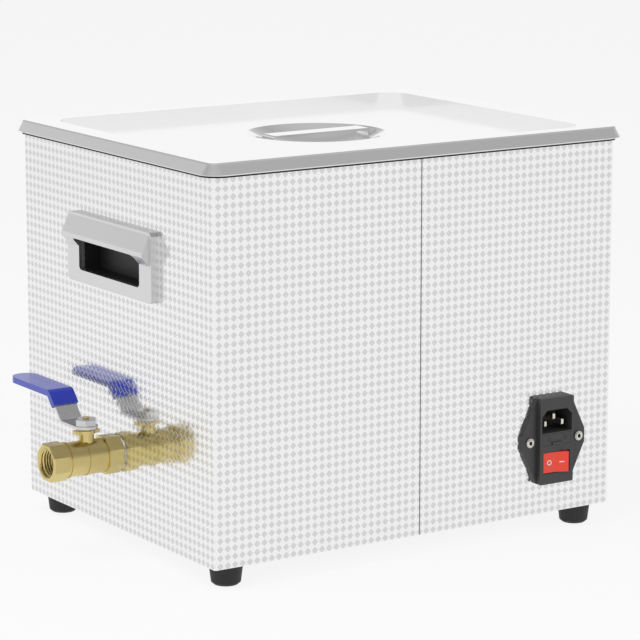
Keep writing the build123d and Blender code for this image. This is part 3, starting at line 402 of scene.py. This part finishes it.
def ringMark(name, centre, right, radius, tube, finish, body):
    # a round bead lying in the upright plane of right
    right, up = Vector(right).normalized(), Vector(zAxis)
    out = right.cross(up)
    around, across = bead["around"], bead["across"]
    verts, faces = [], []
    for i in range(around):
        turn = 2 * math.pi * i / around
        outward = right * math.cos(turn) + up * math.sin(turn)
        for j in range(across):
            tilt = 2 * math.pi * j / across
            reach = radius + tube * math.cos(tilt)
            verts.append(Vector(centre) + outward * reach + out * tube * math.sin(tilt))
            a, b = i * across, (i + 1) % around * across
            k = (j + 1) % across
            faces.append((a + j, b + j, b + k, a + k))
    return addMesh(name, verts, faces, finish, body, True)


def rectangle(width, height):
    w, h = width / 2, height / 2
    return [(-w, -h), (w, -h), (w, h), (-w, h)]


def middle(low, high):
    return [(a + b) / 2 for a, b in zip(low, high)]


outletThread = {"pitch": 0.001814, "radius": 0.0093, "rise": 0.0009, "length": 0.0092, "mouth": 0.0012}
stemThread = {"pitch": 0.0004, "core": 0.0021, "crest": 0.0024, "margin": 0.0001}


def valveThreads():
    capLow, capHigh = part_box("valve_end_cap")
    start = (capHigh[0] - outletThread["mouth"], 0, (capLow[2] + capHigh[2]) / 2)
    radius = outletThread["radius"]
    sweptRidge("outletThread", start, (-1, 0, 0), radius, radius - outletThread["rise"],
               outletThread["pitch"], outletThread["length"], "cabinet")
    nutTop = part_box("lever_nut")[1][2]
    stemLow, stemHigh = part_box("valve_stem")
    start = ((stemLow[0] + stemHigh[0]) / 2, 0, nutTop + stemThread["margin"])
    sweptRidge("stemThread", start, zAxis, stemThread["core"], stemThread["crest"], stemThread["pitch"],
               stemHigh[2] - nutTop - 2 * stemThread["margin"], "drain_lever")


rockerMarks = {"ring": 0.0015, "bead": 0.0003, "bar": (0.0034, 0.0006), "proud": 0.00012}


def rockerSigns():
    # O on the pressed half and I on the raised one, each lying on the mean plane of its faces
    rockerMidX = middle(*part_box("power_rocker"))[0]
    halves = {}
    for face in nodes["power_rocker"].data.polygons:
        if face.normal.y > 0.6:
            total = halves.setdefault(face.center.x > rockerMidX, [Vector(), Vector(), 0.0])
            total[0] += face.center * face.area
            total[1] += face.normal * face.area
            total[2] += face.area
    for pressed, (centreSum, normalSum, area) in halves.items():
        centre = centreSum / area
        right = normalSum.normalized().cross(Vector(zAxis))
        if pressed:
            ringMark("offMark", centre, right, rockerMarks["ring"], rockerMarks["bead"], markWhite,
                     "power_rocker")
        else:
            slab("onMark", centre, right, rectangle(*rockerMarks["bar"]), rockerMarks["proud"], markWhite,
                 "power_rocker")


# radii of the rim, its bead and the dark centre, as shares of the head's radius
fastener = {"rim": 0.62, "bead": 0.26, "hollow": 0.36, "corners": 24, "proud": 0.00004}


def inletFasteners():
    low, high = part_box("inlet_screws")
    headRadius = (high[2] - low[2]) / 2
    hollow = headRadius * fastener["hollow"]
    turns = [2 * math.pi * t / fastener["corners"] for t in range(fastener["corners"])]
    outline = [(hollow * math.cos(turn), hollow * math.sin(turn)) for turn in turns]
    for i, x in enumerate((low[0] + headRadius, high[0] - headRadius)):
        centre = (x, high[1], (high[2] + low[2]) / 2)
        ringMark(f"fastenerRim_{i}", centre, xAxis, headRadius * fastener["rim"],
                 headRadius * fastener["bead"], finishes["pin_nickel"], "cabinet")
        slab(f"fastenerHollow_{i}", centre, (-1, 0, 0), outline, fastener["proud"], shadowBlack,
             "cabinet")


# two sets of three finger grooves; first, step and gap are shares of the drawer's width
drawerRibs = {"count": 6, "first": 0.16, "step": 0.04, "gap": 0.44, "behind": 0.001, "lift": 0.0006,
              "size": (0.00035, 0.0034), "proud": 0.00012}


def drawerGrooves():
    low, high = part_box("fuse_drawer")
    for i in range(drawerRibs["count"]):
        share = drawerRibs["first"] + drawerRibs["step"] * i
        if i >= drawerRibs["count"] / 2:
            share += drawerRibs["gap"]
        x = low[0] + (high[0] - low[0]) * share
        centre = (x, high[1] - drawerRibs["behind"], (low[2] + high[2]) / 2 + drawerRibs["lift"])
        slab(f"drawerRib_{i}", centre, (-1, 0, 0), rectangle(*drawerRibs["size"]), drawerRibs["proud"],
             finishes["inlet_black"], "fuse_drawer")


figure = {
    "width": 0.0058,
    "height": 0.0104,
    "bar": 0.0011,
    "slim": 0.8,            # a bar's thickness as a share of the space left for it
    "step": 0.0088,         # from one figure to the next
    "places": (-0.0315, 0.0130),    # first figure of each group, from the window's middle
    "proud": 0.00004,
}


def windowFigures():
    # unlit figures of seven bars, three in each group
    w, h, bar = figure["width"], figure["height"], figure["bar"]
    thick = bar * figure["slim"]
    level, upright = (w - bar, thick), (thick, h / 2 - bar)
    bars = [(0, y, level) for y in (h / 2, 0, -h / 2)]
    bars += [(x, y, upright) for y in (h / 4, -h / 4) for x in (-w / 2, w / 2)]
    low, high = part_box("display_window")
    midX, midZ = (low[0] + high[0]) / 2, (low[2] + high[2]) / 2
    for group, left in enumerate(figure["places"]):
        for digit in range(3):
            for k, (x, y, size) in enumerate(bars):
                spot = (midX + left + figure["step"] * digit + x, low[1], midZ + y)
                slab(f"segment_{group}_{digit}_{k}", spot, xAxis, rectangle(*size), figure["proud"],
                     digitRed, "cabinet")


keyMark = {"half": 0.0018, "foot": 0.0013, "tip": 0.0017, "ring": 0.0016, "bead": 0.0002, "proud": 0.00004}


def keyMarks():
    # triangles on the keys that count up or down, rings on the two switches
    half, foot, tip = keyMark["half"], keyMark["foot"], keyMark["tip"]
    triangles = {"up": [(-half, -foot), (half, -foot), (0, tip)],
                 "down": [(-half, foot), (0, -tip), (half, foot)]}
    for key in ("timer_up", "timer_down", "heat_up", "heat_down", "heater_switch", "cleaning_switch"):
        low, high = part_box("button_" + key)
        spot = ((low[0] + high[0]) / 2, low[1], (low[2] + high[2]) / 2)
        way = key.split("_")[1]
        if way in triangles:
            slab("mark_" + key, spot, xAxis, triangles[way], keyMark["proud"], markWhite,
                 "button_" + key)
        else:
            ringMark("mark_" + key, spot, xAxis, keyMark["ring"], keyMark["bead"], markWhite,
                     "button_" + key)


valveThreads()
rockerSigns()
inletFasteners()
drawerGrooves()
windowFigures()
keyMarks()
print("marks and threads made")


studio = {
    "floorReach": 9.0,
    "floorShade": grey(238),
    "floorGlow": 0.86,      # how much of the floor's white doesn't take the object's shadow
    "worldFill": 0.72,      # light of the sky on the object, where 1 is what the camera sees
    "sky": [(0.0, 0.55), (0.46, 0.97), (0.625, 1.0), (0.665, 0.60), (0.80, 0.43), (1.0, 0.62)],
    "aim": (0, 0, 0.15),
    "lamps": {"keyLamp": {"spot": (1.3, 0.2, 1.9), "power": 26.0, "size": 1.6},
              "fillLamp": {"spot": (-0.8, 2.0, 1.5), "power": 12.0, "size": 1.8}},
}
white = (1, 1, 1, 1)


def seenRays(look):
    # 1 where the camera looks, straight or through a reflection or glass
    path = look.node("ShaderNodeLightPath", out="Is Camera Ray")
    seen = path + path.output("Is Glossy Ray") + path.output("Is Transmission Ray")
    return path, look.math("MINIMUM", seen, 1.0)


def buildWorld():
    world = bpy.data.worlds.new("studioWorld")
    bpy.context.scene.world = world
    look = Look("studioWorld", world)
    rise = look.parts(look.node("ShaderNodeTexCoord", out="Generated"))[2]
    sky = look.node("ShaderNodeValToRGB", {"stops": studio["sky"]}, {0: rise * 0.5 + 0.5})
    camera, seen = seenRays(look)
    strength = studio["worldFill"] + seen * (1 - studio["worldFill"])
    sockets = {"Color": look.mix(camera, sky, white), "Strength": strength}
    look.finish(look.node("ShaderNodeBackground", {}, sockets))


def buildFloor():
    reach = studio["floorReach"]
    corners = [(-reach, -reach, 0), (reach, -reach, 0), (reach, reach, 0), (-reach, reach, 0)]
    mesh = bpy.data.meshes.new("studioFloor")
    mesh.from_pydata(corners, [], [(0, 1, 2, 3)])
    floor = bpy.data.objects.new("studioFloor", mesh)
    bpy.context.collection.objects.link(floor)
    look = Look("paleFloor")
    seen = seenRays(look)[1]
    matt = look.node("ShaderNodeBsdfDiffuse", {}, {"Color": studio["floorShade"]})
    glow = look.node("ShaderNodeEmission", {}, {"Color": white, "Strength": 1.0})
    both = look.node("ShaderNodeMixShader", {}, {0: seen * studio["floorGlow"], 1: matt, 2: glow})
    mesh.materials.append(look.finish(both))


def aimed(ob, spot, ahead):
    bpy.context.collection.objects.link(ob)
    ob.location = spot
    ob.rotation_euler = ahead.to_track_quat("-Z", "Y").to_euler()
    return ob


def buildLamps():
    for name, lamp in studio["lamps"].items():
        data = bpy.data.lights.new(name, "AREA")
        data.energy = lamp["power"]
        data.size = lamp["size"]
        ahead = Vector(studio["aim"]) - Vector(lamp["spot"])
        aimed(bpy.data.objects.new(name, data), lamp["spot"], ahead).visible_glossy = False


view = {
    "lens": 170.9,
    "sensor": 36.0,
    "far": 60.0,
    "spot": (1.0669, 1.6689, 0.5338),
    "heading": 236.7845,    # degrees from +X
    "dip": 11.3159,         # degrees below the level
}


def buildCamera():
    data = bpy.data.cameras.new("viewCamera")
    data.lens = view["lens"]
    data.sensor_width = view["sensor"]
    data.clip_end = view["far"]
    heading, dip = math.radians(view["heading"]), math.radians(view["dip"])
    ahead = Vector((math.cos(heading) * math.cos(dip), math.sin(heading) * math.cos(dip), -math.sin(dip)))
    bpy.context.scene.camera = aimed(bpy.data.objects.new("viewCamera", data), view["spot"], ahead)


buildWorld()
buildFloor()
buildLamps()
buildCamera()
bpy.context.scene.view_settings.view_transform = "Standard"
print("studio ready")
